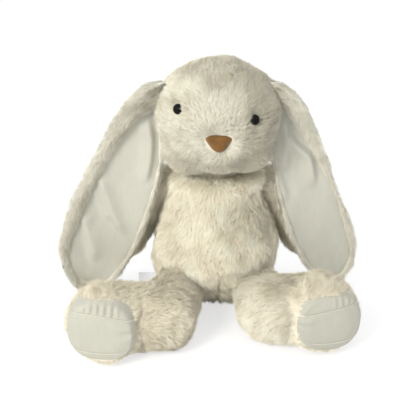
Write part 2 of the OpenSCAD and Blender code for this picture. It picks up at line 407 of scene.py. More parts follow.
# ---------------------------------------------------------------- hair
def strands(P, N, D, L, W, lean, clump, cell, roll, seed, rng, wave=0.12):
    """Tapered bent hairs as narrow strips of three triangles: roots P, normals N, combed along D."""
    D = unit(D - N * (D * N).sum(1)[:, None])
    S = np.cross(N, D)
    ang = rng.normal(0, roll, len(P))
    D = unit(D * np.cos(ang)[:, None] + S * np.sin(ang)[:, None])
    near, d1 = worley(P, cell, seed)
    T = near - P
    T = T - N * (T * N).sum(1)[:, None]
    L = (L * (1.1 - 0.2 * np.minimum(d1, 1)) * rng.uniform(0.72, 1.12, len(P)))[:, None]
    a0 = np.radians(lean[0] + rng.normal(0, 6, len(P)))[:, None]
    a1 = np.radians(lean[1] + rng.normal(0, 7, len(P)))[:, None]
    d0 = N * np.cos(a0) + D * np.sin(a0)
    d1v = N * np.cos(a1) + D * np.sin(a1) + wave * rng.normal(0, 1, P.shape)
    mid = P + d0 * L * 0.42 + T * clump * 0.3
    tip = mid + unit(d1v) * L * 0.58 + T * clump * 0.6
    side = unit(np.cross(N, D) + 0.35 * rng.normal(0, 1, P.shape))
    w = (W * rng.uniform(0.75, 1.25, len(P)))[:, None]
    base = P - N * 0.8
    V = np.stack([base - side * w * 0.5, base + side * w * 0.5, mid + side * w * 0.42, mid - side * w * 0.42, tip], 1).reshape(-1, 3)
    V[:, 2] = np.maximum(V[:, 2], 0.4)
    k = np.arange(len(P)) * 5
    return V, np.stack([k, k + 1, k + 2, k + 3], 1), np.stack([k + 3, k + 2, k + 4], 1)


THIN = 1.0


def fur(name, V, F, body, comb, length, key, colour, stand_for=(), density=2.0, width=0.4, lean=(40, 74), clump=0.2, cell=4.2,
        roll=0.2, where=None, lumps=(1.3, 0.8, 0.5), seed=1, spread=0.13, cloth=True, ride=True, inset=0.0, shade=None, short=None):
    """A furry cloth and its pile, as two pieces on one body. where gives how thick the pile stands at a point, from 0 to 1."""
    rng = np.random.default_rng(seed)
    N = normals(V, F)
    near, d1 = worley(V, cell * 1.5, seed + 5)
    bump = lumps[0] * vnoise(V, 19, seed) + lumps[1] * vnoise(V, 8, seed + 1) + lumps[2] * (0.5 - d1) * 2
    V = V + N * (bump - inset)[:, None]
    N = normals(V, F)
    w = np.ones(len(V)) if where is None else where(V)
    skin, pile = shades(key, colour, spread)
    made = []
    if cloth:
        o = build(name, V, [(F, 0)], [skin])
        if ride:
            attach(o, body)
        if stand_for:
            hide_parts(*stand_for)
        made.append(o)
    P, Q = scatter(V, N, F, density * THIN, np.clip(w, 0, 1), rng)
    D = unit(comb(P)) + 0.5 * vnoise3(P, 24, seed + 31) + 0.3 * vnoise3(P, 9, seed + 47)
    L = length * (1 + 0.16 * vnoise(P, 13, seed + 3))
    if short is not None:
        L = L * short(P)
    SV, quad, tri = strands(P, Q, D, L, width, lean, clump, cell, roll, seed, rng)
    tone = 0.5 + 0.34 * vnoise(P, 11, seed + 71) + 0.2 * vnoise(P, 4, seed + 72) + rng.normal(0, 0.16, len(P))
    # shade adds painted shade: it moves the pile towards its darker or lighter materials by position, standing in for
    # light and shadow
    if shade is not None:
        tone += shade(P)
    pick = np.clip((tone * 4).astype(int), 0, 3)
    groups = []
    for k in range(4):
        groups += [(quad[pick == k], k), (tri[pick == k], k)]
    h = build(name + "_pile", SV, groups, pile)
    if ride:
        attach(h, body)
    made.append(h)
    return made


def world(V):
    return V + SH


# ---------------------------------------------------------------- torso
VOX = 2.1
IN = 3.0  # the cloth lies this far inside the middle of the pile
torso_p = np.concatenate([[[0, 0], [34, 0]], spline([[40, 2], [50, 11], [60, 30], [65, 68], [59, 104], [47, 138], [35, 152], [20, 159]], 4), [[0, 160]]])
tp = torso_p.copy()
tp[:, 0] = np.maximum(tp[:, 0] - IN, 0)
tp[0, 0] = tp[-1, 0] = 0
V, F = lathe(tp, 96)
V = V + np.array([0, TY, 0])
V, F = remesh([(V, F)], VOX)
V = relax(V, F, 6)
wide = np.exp(-(((V[:, 2] - 149) / 12) ** 2))
V[:, 0] *= 1 + 0.24 * wide
V[:, 1] = TY + (V[:, 1] - TY) * (1 + 0.1 * wide)
# the belly is softly full, its front edge tucked up between the legs, its seam pulled in
front = smooth(0, 45, TY - 6 - V[:, 1])
low = 1 - np.clip(V[:, 2] / 78, 0, 1)
V[:, 2] += 32 * front * low**1.3
V[:, 1] -= 4.0 * front * np.exp(-(((V[:, 2] - 66) / 34) ** 2))
V[:, 0] *= 1 + 0.03 * np.exp(-(((V[:, 2] - 52) / 26) ** 2)) - 0.05 * np.exp(-(((V[:, 2] - 118) / 22) ** 2))
N = normals(V, F)
seam = np.exp(-((V[:, 0] / 2.6) ** 2)) * smooth(118, 60, V[:, 2]) * (V[:, 1] < TY)
seam2 = np.exp(-(((V[:, 1] - TY) / 2.4) ** 2))
wrinkle = np.sin(V[:, 2] / 9.5 + 2.2 * vnoise(V, 45, 3)) * smooth(40, 70, V[:, 2]) * smooth(140, 110, V[:, 2]) * front
V = V - N * (2.6 * seam + 1.6 * seam2 - 1.9 * wrinkle)[:, None]
V[:, 2] = np.maximum(V[:, 2], 1.2)


def torso_comb(P):
    q = P - SH
    down = np.tile([0, 0, -1.0], (len(P), 1))
    return down + 0.35 * unit(np.stack([q[:, 0], q[:, 1] - TY, 0 * q[:, 0]], 1)) + np.stack([0.5 * np.sin(q[:, 2] / 23), 0 * q[:, 0], 0 * q[:, 0]], 1)


def off_floor(z0=5.0, z1=10.0):
    return lambda P: smooth(z0, z1, P[:, 2])


V = world(V)
mid_f = V[F].mean(1)
isf = mid_f[:, 1] < SH[1] + TY
for name, keep, stands in (
    ("belly_left", isf & (mid_f[:, 0] < SH[0]), ["belly_panel_left"]),
    ("belly_right", isf & (mid_f[:, 0] >= SH[0]), ["belly_panel_right"]),
    ("back", ~isf, ["back_panel", "torso_stuffing", "pellet_bag"]),
):
    v, f, _ = subset(V, F, keep)
    fur(name, v, f, "torso", torso_comb, 9.5, "body", WARM, stands, lean=(38, 74), clump=0.36, cell=5.4, lumps=(3.0, 1.2, 0.6), seed=11,
        where=off_floor(), roll=0.26, width=0.42, density=2.1)

# the smooth seat that it stands on, quilted a little by the pellets behind it
velboa = velboa_material("velboa", (0.455, 0.445, 0.375))
r, a = np.linspace(0, 1, 15), np.linspace(0, 2 * math.pi, 73)[:-1]
SV = [[0, TY + 10, 0]]
for x in r[1:]:
    SV += [[x * 24 * math.cos(t), TY + 10 + x * 24 * math.sin(t), 0] for t in a]
SV = world(np.array(SV, float))
edge = np.linalg.norm(SV[:, :2] - (SH[:2] + np.array([0, TY + 10])), axis=1)
SV[:, 2] = 0.25 + 3.2 * smooth(20.5, 24, edge) + 0.25 * (1 + vnoise(SV, 4, 9)) * smooth(2, 12, edge)
n = 72
j, j2 = np.arange(n), (np.arange(n) + 1) % n
SF = [np.stack([1 + i * n + j, 1 + (i + 1) * n + j, 1 + (i + 1) * n + j2, 1 + i * n + j2], 1)[:, ::-1] for i in range(len(r) - 2)]
seat = build("seat", SV, [(np.concatenate(SF)[:, ::-1], 0), (np.stack([np.zeros(n, int), 1 + j, 1 + j2], 1)[:, ::-1], 0)], [velboa])
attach(seat, "torso")
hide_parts("seat_panel")

# the tail
tc = np.array([0, TY + 66, 44.0])
V, F = remesh([ball(tc + [0, -2, 0], [18, 18, 17.5])], VOX)
V = V[:, :]
fur("tail", world(V), F, "torso", lambda P: unit(P - world(tc)) * [1, 1, 0] + [0, 0, -0.9], 9.5, "body", WARM, ["tail_cover", "tail_stuffing"],
    lean=(26, 60), clump=0.35, cell=5, seed=23)

# ---------------------------------------------------------------- neck
V, F = remesh([ball([0, 13, 163], [26, 21, 14.5])], VOX)
# painted shade: the neck's pile is set darker all over, for the shadow under the head
fur("neck", world(V), F, "neck", lambda P: np.tile([0, 0, -1.0], (len(P), 1)), 9, "body", WARM, ["neck_stuffing"], lean=(30, 70), seed=27, density=1.4, shade=lambda P: np.full(len(P), -0.6))

# ---------------------------------------------------------------- head
head_p = np.concatenate([[[0, -54]], spline([[16, -52.5], [36, -44], [52, -27], [59.5, -6], [59.5, 10], [51, 31], [34, 47], [14, 55]], 4), [[0, 56.5]]])
hp = head_p.copy()
hp[:, 0] *= (59.5 - 2.4) / 59.5
hp[:, 1] *= (55 - 2.4) / 55
hv, hf = lathe(hp, 96)
V, F = remesh([(hv + HEAD_C, hf), ball(MUZZLE, 25.2), ball(MUZZLE + [-17, 12, -8], 19), ball(MUZZLE + [17, 12, -8], 19), ball(MUZZLE + [0, 10, -18], 20),
               ball([-25, -10, 189], [29.5, 29, 27]), ball([24, -10, 189.5], [29, 29, 27])], VOX)
V = relax(V, F, 18)
N = normals(V, F)
for s in (-1, 1):
    d = np.linalg.norm(V - EYE[s], axis=1)
    V = V - N * (3.0 * np.exp(-((d / 7.0) ** 2)) - 1.4 * np.exp(-(((d - 12) / 5) ** 2)) * (V[:, 2] > EYE[s][2]))[:, None]
cleft = np.exp(-(((V[:, 0] + 1) / 2.2) ** 2)) * smooth(201, 194, V[:, 2]) * smooth(165, 178, V[:, 2]) * (V[:, 1] < -20)
brow = np.exp(-((V[:, 0] / 26) ** 2)) * np.exp(-(((V[:, 2] - 246) / 16) ** 2)) * (V[:, 1] < 0)
V = V - N * (1.6 * cleft - 1.2 * brow)[:, None]


def head_comb(P):
    q = P - SH
    away = unit(q - NOSE)
    return away * [1, 1, 1] + np.array([0, 0, -0.25]) * (q[:, 2:3] < 200)


def head_where(P):
    q = P - SH
    w = np.ones(len(P))
    for s in (-1, 1):
        w *= smooth(2.0, 3.4, np.linalg.norm((q - EYE[s]) * [1.5, 1, 0.78], axis=1))
    x, z = q[:, 0] - NOSE[0], q[:, 2] - NOSE[2]
    inside = (np.abs(x) / 12.6) ** 2.2 + (np.maximum(z - 1, 0) / 8.0) ** 2 + (np.maximum(1 - z, 0) / 9) ** 2
    on = (inside < 1) & (q[:, 1] < -50)
    return w * ~on


V = world(V)
mx = V[F].mean(1)[:, 0] - SH[0]
# painted shade and light in the head's pile: the right side, the muzzle below the nose and the crown are painted
# darker, and the middle of the face is painted lighter, as light from the left falls on it
for name, keep, stands, dark in (
    ("head_left", mx < -23, ["head_panel_left"], 1.0),
    ("head_middle", np.abs(mx) <= 23, ["head_gusset", "head_stuffing"], 1.0),
    ("head_right", mx > 23, ["head_panel_right"], 0.97),
):
    v, f, _ = subset(V, F, keep)
    fur(name, v, f, "head", head_comb, 7.4, "head", COOL, stands, lean=(42, 76), clump=0.34, cell=4.4, lumps=(1.5, 0.8, 0.4),
        seed=31, where=head_where, width=0.36, density=2.4, roll=0.2, spread=0.2, shade=lambda P: -0.7 * smooth(4, 46, P[:, 0] - SH[0]) - 0.45 * smooth(200, 180, P[:, 2]) - 0.35 * smooth(245, 262, P[:, 2])
        + 0.5 * smooth(34, 4, np.abs(P[:, 0] - SH[0] + 6)) * smooth(196, 210, P[:, 2]) * smooth(252, 238, P[:, 2]))

# eyes: the CAD's own domes, black and glossy
m, nt, b = material("eye_gloss")
co = node(nt, "ShaderNodeTexCoord").outputs["Object"]
nt.links.new(ramp(nt, noise(nt, co, 700, 3), [(0.3, (0.004, 0.004, 0.005)), (0.7, (0.011, 0.010, 0.010))]), b.inputs["Base Color"])
b.inputs["Roughness"].default_value = 0.12
b.inputs["Specular IOR Level"].default_value = 0.06
b.inputs["Coat Weight"].default_value = 0.02
b.inputs["Coat Roughness"].default_value = 0.03
for n_ in ("eye_left", "eye_right"):
    nodes[n_].data.materials.clear()
    nodes[n_].data.materials.append(m)
m, nt, b = material("washer_plastic")
co = node(nt, "ShaderNodeTexCoord").outputs["Object"]
nt.links.new(ramp(nt, noise(nt, co, 300, 3), [(0.3, (0.62, 0.62, 0.6)), (0.7, (0.7, 0.7, 0.68))]), b.inputs["Base Color"])
b.inputs["Roughness"].default_value = 0.4
for n_ in ("eye_washer_left", "eye_washer_right"):
    nodes[n_].data.materials.clear()
    nodes[n_].data.materials.append(m)

# nose: a padded suede triangle with rounded corners, turned under at its edge
m, nt, b = material("suede")
co = node(nt, "ShaderNodeTexCoord").outputs["Object"]
cloud, nap = noise(nt, co, 130, 4, 0.65), noise(nt, co, 2600, 3, 0.7)
nt.links.new(ramp(nt, added(nt, cloud, nap, 0.7, 0.3), [(0.32, (0.095, 0.036, 0.004)), (0.5, (0.16, 0.068, 0.008)), (0.68, (0.25, 0.12, 0.02))]), b.inputs["Base Color"])
b.inputs["Roughness"].default_value = 0.88
b.inputs["Sheen Weight"].default_value = 0.25
bumped(nt, b, nap, 0.6, 0.0008)
nose_c = [[-12.6, 5.0], [-8.5, 7.9], [0, 8.8], [8.5, 7.9], [12.6, 5.0], [10, -0.2], [5.6, -5.6], [0, -7.9], [-5.6, -5.6], [-10, -0.2]]


def ring(points, n):
    p = np.array(points, float)
    out = []
    for i in range(len(p)):
        a_, b_, c_, d_ = p[i - 1], p[i], p[(i + 1) % len(p)], p[(i + 2) % len(p)]
        for t in np.arange(n) / n:
            out.append(0.5 * (2 * b_ + (c_ - a_) * t + (2 * a_ - 5 * b_ + 4 * c_ - d_) * t * t + (3 * b_ - a_ - 3 * c_ + d_) * t**3))
    return np.array(out)


def nose_place(p):
    return world(p @ rot("X", 76).T + NOSE)


c = ring(nose_c, 6)
rows = [(0.0, 3.6), (0.25, 3.5), (0.5, 3.1), (0.72, 2.4), (0.88, 1.4), (0.97, 0.2), (1.0, -1.2), (0.97, -2.6)]
NV, m_ = [[0, 0, 3.6]], len(c)
for f_, h in rows[1:]:
    bend = -0.012 * (c[:, 0] * f_) ** 2
    NV += np.stack([c[:, 0] * f_, c[:, 1] * f_, h + bend], 1).tolist()
j, j2 = np.arange(m_), (np.arange(m_) + 1) % m_
NF = [np.stack([1 + i * m_ + j, 1 + i * m_ + j2, 1 + (i + 1) * m_ + j2, 1 + (i + 1) * m_ + j], 1) for i in range(len(rows) - 2)]
nose = build("nose_pad", nose_place(np.array(NV, float)), [(np.concatenate(NF), 0), (np.stack([np.zeros(m_, int), 1 + j2, 1 + j], 1), 0)], [m])
sub = nose.modifiers.new("s", "SUBSURF")
sub.levels = sub.render_levels = 1
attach(nose, "head")
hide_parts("nose")

# ---------------------------------------------------------------- ears
# the outlines of each ear and of its lining, out from the root and up; the left ear hangs fuller, the right one is curled back
ear_out = {
    -1: [[-16, 15], [-6, 13.5], [8, 8.5], [20, -1.5], [31, -14], [41, -29], [56, -57], [69, -79], [80, -100], [93, -133], [99.5, -156], [98, -182], [90, -202], [74, -212], [60, -213.5]],
    1: [[-16, 14], [-8, 12], [5, 5.5], [18, -7.5], [26, -19], [32, -31], [45, -62], [59, -98], [73, -130], [83, -160], [84.5, -180], [77, -200], [64, -212], [52, -213.5]],
}
ear_in = {
    -1: [[60, -213.5], [46, -200], [28, -175], [17, -152], [3, -113], [-7, -77], [-10.5, -55], [-13, -34], [-15, -18], [-16, 0], [-16, 15]],
    1: [[52, -213.5], [43, -202], [28, -180], [14, -153], [1, -113], [-7, -74], [-9.5, -55], [-11, -34], [-14, -18], [-16, 0], [-16, 14]],
}
lin_out = {
    -1: [[-2, -8], [13, -19], [26, -33], [38, -48.5], [50, -69], [62, -90], [74, -115], [86, -142], [93, -162], [92.5, -183], [86, -199], [72, -208.5], [60, -209]],
    1: [[-4, -7], [5, -15], [13, -28], [25, -42], [39, -66], [53.5, -92], [66.5, -123], [77, -153], [81.5, -175], [77, -195], [65, -207], [53, -209]],
}
lin_in = {
    -1: [[60, -209], [47, -197.5], [30, -173], [19, -150], [5, -112], [-5, -77], [-8, -55], [-8.5, -34], [-7, -20], [-2, -8]],
    1: [[53, -209], [44, -199], [30, -178], [16, -151], [3.5, -112], [-4.5, -74], [-6.5, -55], [-7.5, -34], [-7, -20], [-4, -7]],
}


def edges(chain_out, chain_in):
    """u at the inner and outer edge for any w."""
    o_, i_ = spline(chain_out, 8), spline(chain_in, 8)
    o_, i_ = o_[np.argsort(o_[:, 1])], i_[np.argsort(i_[:, 1])]
    return lambda w: (np.interp(w, i_[:, 1], i_[:, 0]), np.interp(w, o_[:, 1], o_[:, 0]))


def ear_world(s, p):
    """(u out from the root, w up, n forward) to the row frame."""
    al = math.radians(3)
    x, y0, z0 = s * p[:, 0], -p[:, 2], p[:, 1]
    return np.stack([x + s * ROOT[0], y0 * math.cos(al) - z0 * math.sin(al) + ROOT[1], y0 * math.sin(al) + z0 * math.cos(al) + ROOT[2]], 1) + SH


def near_line(u, w, line):
    """How far points are from a polyline, and how far along it, 0 to 1."""
    line = np.array(line, float)
    best, along = np.full(len(u), 1e9), np.zeros(len(u))
    seg = np.linalg.norm(np.diff(line, axis=0), axis=1)
    done = np.concatenate([[0], np.cumsum(seg)]) / seg.sum()
    side = np.zeros(len(u))
    for i in range(len(line) - 1):
        a_, d_ = line[i], line[i + 1] - line[i]
        t = np.clip(((u - a_[0]) * d_[0] + (w - a_[1]) * d_[1]) / (d_ @ d_), 0, 1)
        x, y = u - a_[0] - t * d_[0], w - a_[1] - t * d_[1]
        r_ = np.hypot(x, y)
        m2 = r_ < best
        best[m2], along[m2] = r_[m2], (done[i] + t * (done[i + 1] - done[i]))[m2]
        side[m2] = np.sign(x * d_[1] - y * d_[0])[m2]
    return best, along, side


CREASES = {
    -1: [  # (line, how deep, half width, how high its other lip stands)
        ([[61, -80], [52, -106], [45.9, -127.4], [33.7, -156]], 2.6, 3.4, 1.1),
        ([[66, -92], [58, -116], [50, -138]], 1.6, 3.0, 1.0),
        ([[78, -120], [73, -152], [68.7, -184]], 2.4, 4.0, 1.0),
        ([[8, -96], [1.5, -66], [0, -42], [4, -18]], 2.6, 3.2, 1.2),
    ],
    1: [
        ([[8, -30], [15.4, -49], [31.2, -64], [37, -82], [40, -104]], 2.8, 3.2, 1.2),
        ([[5, -20], [8, -50], [10.4, -84]], 2.0, 3.2, 1.1),
        ([[-3, -72.5], [5, -92], [13, -114]], 1.5, 2.8, 1.0),
    ],
}


def bow(s, u, w, uo, ui):
    """How far the whole ear lies forward of its plane: its outer edge rolls forward, its middle sinks."""
    q = np.clip((u - ui) / np.maximum(uo - ui, 1), 0, 1)
    top = smooth(6, -40, w)
    roll = (4.2 if s < 0 else 1.8) * smooth(0.62, 1.0, q) + 2.2 * smooth(0.3, 0.0, q)
    fold = (5.0 if s < 0 else 3.0) * smooth(-60, -8, w) * smooth(0.25, 0.8, q)  # the thick fold at the top, over the lining
    return top * (roll - 2.2 * np.sin(np.pi * q)) + 1.2 * np.sin(w / 37.0) + fold


def ear(s):
    side = "left" if s < 0 else "right"
    body = side + "_ear"
    bounds = edges(ear_out[s], ear_in[s])
    w_top, w_tip = ear_out[s][0][1] - 0.3, ear_out[s][-1][1] + 0.15
    l_top, l_tip = lin_out[s][0][1], lin_out[s][-1][1]
    nt_, ns = ((118, 44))
    t = (np.arange(nt_) + 0.5) / nt_
    wt = w_top - (w_top - w_tip) * (np.sin(t * math.pi / 2) * 0.55 + t * 0.45)
    ph = np.arange(2 * ns) * math.pi / ns
    rows_, W_ = [], []
    for w in wt:
        ui, uo = bounds(w)
        cu, hu = (ui + uo) / 2, (uo - ui) / 2
        c_, s_ = np.cos(ph), np.sin(ph)
        e = 2 / 5.0
        x = np.sign(c_) * np.abs(c_) ** 1.0
        flat = np.sign(s_) * np.abs(s_) ** e
        th = (2.3 + 3.6 * float(smooth(-42, 2, np.array([w]))[0])) * min(1, hu / 6)
        u = cu + (hu - 0.6) * x
        rows_.append(np.stack([u, np.full_like(u, w), flat * th + bow(s, u, np.full_like(u, w), uo, ui)], 1))
    M = 2 * ns
    P = np.concatenate(rows_)
    j, j2 = np.arange(M), (np.arange(M) + 1) % M
    F = np.concatenate([np.stack([i * M + j, i * M + j2, (i + 1) * M + j2, (i + 1) * M + j], 1) for i in range(nt_ - 1)])
    P = np.concatenate([P, rows_[0].mean(0)[None] + [0, 0.6, 0], rows_[-1].mean(0)[None] - [0, 0.6, 0]])
    a_, b_ = nt_ * M, nt_ * M + 1
    cap = np.concatenate([np.stack([np.full(M, a_), j2, j], 1), np.stack([np.full(M, b_), (nt_ - 1) * M + j, (nt_ - 1) * M + j2], 1)])
    lin = edges(lin_out[s], lin_in[s])
    # the outline where the lining is let in, pressed down a little for its seam
    li, lo = lin(P[:, 1])
    inside = np.minimum(P[:, 0] - li, lo - P[:, 0])
    inside = np.where((P[:, 1] > l_top) | (P[:, 1] < l_tip), -3, inside)
    inside = np.minimum(inside, np.minimum(P[:, 1] - l_tip, l_top - P[:, 1]))
    bi, bo = bounds(P[:, 1])
    front = P[:, 2] - bow(s, P[:, 0], P[:, 1], bo, bi) > 0
    P[:, 2] -= front * 3.9 * smooth(-1.5, 4.5, inside)
    puff = front * np.exp(-(((inside + 6) / 4.5) ** 2))
    P[:, 2] += puff * (2.6 if s < 0 else 1.8)
    V = ear_world(s, P)
    F = F[:, ::-1] if s > 0 else F
    cap = cap[:, ::-1] if s > 0 else cap
    Fq = np.concatenate([F, np.concatenate([cap, cap[:, 2:]], 1)])
    Nn = normals(V, Fq)
    if (Nn[: len(P)] * (V - ear_world(s, P * [1, 1, 0]))).sum() < 0:
        F, cap = F[:, ::-1], cap[:, ::-1]
    skin, pile = shades("ear", EAR)
    N = normals(V, F)
    V = V + N * (0.8 * vnoise(V, 15, 5 + s) + 0.3 * vnoise(V, 6, 8 + s))[:, None]
    o = build(f"ear_{side}", V, [(F, 0), (cap, 0)], [skin])
    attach(o, body)
    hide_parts(f"ear_back_{side}")
    rng = np.random.default_rng(50 + s)
    N = normals(V, F)
    wgt = np.where(front, smooth(0.8, -0.8, inside), 1.0)
    wgt = np.concatenate([wgt, [0, 0]])[: len(V)]
    Pp, Q = scatter(V, N, F, 1.9 * THIN, wgt, rng)
    down = np.tile([s * 0.30, 0.0, -1.0], (len(Pp), 1))
    rise = smooth(-30, 4, Pp[:, 2] - SH[2] - ROOT[2])[:, None]
    down = down * (1 - rise) + rise * np.array([s * 1.0, -0.1, 0.15])
    L = 6.8 * (1 + 0.15 * vnoise(Pp, 12, 61))
    D = down + 0.45 * vnoise3(Pp, 22, 63) + 0.25 * vnoise3(Pp, 8, 65)
    SV, quad, tri = strands(Pp, Q, D, L, 0.42, (44, 76), 0.22, 4.4, 0.2, 66, rng)
    tone = 0.5 + 0.32 * vnoise(Pp, 10, 67) + 0.2 * vnoise(Pp, 4, 68) + rng.normal(0, 0.16, len(Pp))
    pick = np.clip((tone * 4).astype(int), 0, 3)
    groups = []
    for k in range(4):
        groups += [(quad[pick == k], k), (tri[pick == k], k)]
    h = build(f"ear_{side}_pile", SV, groups, pile)
    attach(h, body)

    # the lining: one sheet, tucked in at its seam, with the creases that hanging gives it
    nt2, ns2 = ((170, 74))
    t = (np.arange(nt2) + 0.5) / nt2
    prof = 0.5 - 0.5 * np.cos(t * math.pi)
    wt = l_top - 0.3 - (l_top - l_tip - 0.5) * (0.6 * t + 0.4 * prof)
    x = np.linspace(-1, 1, ns2)
    rows2 = []
    for w in wt:
        ui, uo = lin(w)
        u = (ui + uo) / 2 + (uo - ui) / 2 * x * 1.01
        rows2.append(np.stack([u, np.full_like(u, w)], 1))
    G = np.concatenate(rows2)
    u, w = G[:, 0], G[:, 1]
    li, lo = lin(w)
    bi, bo = bounds(w)
    ins = np.minimum(np.minimum(u - li, lo - u), np.minimum(w - l_tip, l_top - w))
    n = bow(s, u, w, bo, bi) - 0.9 + 1.9 * (1 - np.exp(-np.maximum(ins, 0) / 4.0))
    for line, deep, half_w, ridge in CREASES[s]:
        d_, al_, sd = near_line(u, w, spline(line, 5))
        fade = smooth(0, 0.22, al_) * smooth(1, 0.75, al_)
        sg = sd * d_
        step = np.tanh(sg / (half_w * 1.1))
        n += 1.9 * fade * deep * (0.5 + 0.5 * step) * np.exp(-(np.maximum(sg, 0) / (half_w * 2.7)) ** 2) * ridge
        n -= fade * deep * (0.5 - 0.5 * step) * np.exp(-(np.maximum(-sg, 0) / (half_w * 3.0)) ** 2) * 0.9
    q3 = np.stack([u, w, 0 * u + 7 * s], 1)
    soft = smooth(1, 10, ins)
    n += soft * (0.9 * vnoise(q3 * [1, 0.5, 1], 24, 81) + 0.18 * vnoise(q3 * [1, 0.6, 1], 9, 83))
    pucker = np.sin((w + 0.3 * u) / 2.6 + 1.5 * vnoise(q3, 12, 85)) * np.exp(-((ins - 2.2) / 2.4) ** 2)
    n += 0.35 * pucker * (0.5 + 0.5 * vnoise(q3, 25, 87))
    n = np.maximum(n, bow(s, u, w, bo, bi) - 1.3 + 0.4 * smooth(2, 5, ins))
    LV = ear_world(s, np.stack([u, w, n], 1))
    i0 = (np.arange(nt2 - 1)[:, None] * ns2 + np.arange(ns2 - 1)[None]).ravel()
    LF = np.stack([i0, i0 + ns2, i0 + ns2 + 1, i0 + 1], 1)
    if normals(LV, LF)[:, 1].mean() > 0:
        LF = LF[:, ::-1]
    lining = build(f"lining_{side}", LV, [(LF, 0)], [lining_mat])
    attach(lining, body)
    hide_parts(f"ear_lining_{side}")
    return o, h, lining


lining_mat = velboa_material("lining_satin", (0.51, 0.50, 0.43))


for s in (-1, 1):
    cloth, hair, lining = ear(s)

# ---------------------------------------------------------------- arms
ap = np.concatenate([[[0, -16]], [[16 * math.cos(math.radians(a)), 16 * math.sin(math.radians(a))] for a in range(-70, 0, 10)],
                     spline([[16, 2], [17, 30], [19, 66], [21, 92], [17, 107], [8, 114.5]], 4), [[0, 116]]])
ap[:, 0] = np.maximum(ap[:, 0] - 2.2, 0)
ap[0, 0] = 0
ap[-1, 1] -= 2.2
ap[-2, 1] -= 2.0


def arm_world(s, p):
    m = rot("X", 19.5) @ rot("Y", -30 * s) @ rot("X", 180)
    return p @ m.T + np.array([s * 51, 29, 138]) + SH


for s, side in ((-1, "left"), (1, "right")):
    v, f = lathe(ap, 56)
    v, f = remesh([(v, f)], VOX)
    v = relax(v, f, 4)
    axis = arm_world(s, np.array([[0, 0, 1.0]])) - arm_world(s, np.array([[0, 0, 0.0]]))
    fur(f"arm_{side}", arm_world(s, v), f, side + "_arm", lambda P: np.tile(axis[0], (len(P), 1)), 9.5, "limb", LIMB,
        [f"arm_cover_{side}", f"arm_stuffing_{side}"], lean=(38, 72), clump=0.28, cell=5, seed=70 + s, density=1.6)

# ---------------------------------------------------------------- legs and feet
foot_p = np.concatenate([[[0, 0]], spline([[27.5, 1], [35.5, 7], [37.5, 19], [36.5, 34], [33.5, 45], [30, 48.5]], 4), [[21, 50], [0, 50]]])
HIP = np.array([42, -20, 33.0])
KNEE = {-1: np.array([57, -73, 33.5]), 1: np.array([50, -63, 33.5])}
FOOT = {-1: np.array([106, -66, 38.0]), 1: np.array([93, -58, 38.0])}


def mir(p, s):
    return np.array([s * p[0], p[1], p[2]])


def foot_world(s, p):
    m = rot("Z", s * 10) @ rot("X", 90)
    return p @ m.T + mir(FOOT[s], s) + SH


def foot_local(s, P):
    m = rot("Z", s * 10) @ rot("X", 90)
    return (P - SH - mir(FOOT[s], s)) @ m


def foot_front(r_):
    """Height of the foot's front over its back, at a distance from its axis."""
    q = foot_p[foot_p[:, 0].argmax() :]
    return np.interp(r_, q[::-1, 0], q[::-1, 1])


# the pad: middle across and up, half sizes, seen from the front; x is to the right
PAD = {-1: (-0.5, 2.0, 33.4, 31.2), 1: (2.0, 1.2, 32.6, 30.0)}


def pad_inside(s, q):
    """1 at the pad's edge, less inside it. q is in the foot's own frame, y up."""
    cx, cy, hx, hy = PAD[s]
    x, y = (q[:, 0] - cx) / hx, (q[:, 1] - cy) / hy
    return (np.abs(x) ** 2.7 + np.abs(y) ** 2.7) ** (1 / 2.7)


thread, nt, b = material("thread")
co = node(nt, "ShaderNodeTexCoord").outputs["Object"]
nt.links.new(ramp(nt, noise(nt, co, 1800, 2), [(0.3, (0.72, 0.70, 0.6)), (0.7, (0.86, 0.84, 0.74))]), b.inputs["Base Color"])
b.inputs["Roughness"].default_value = 0.7


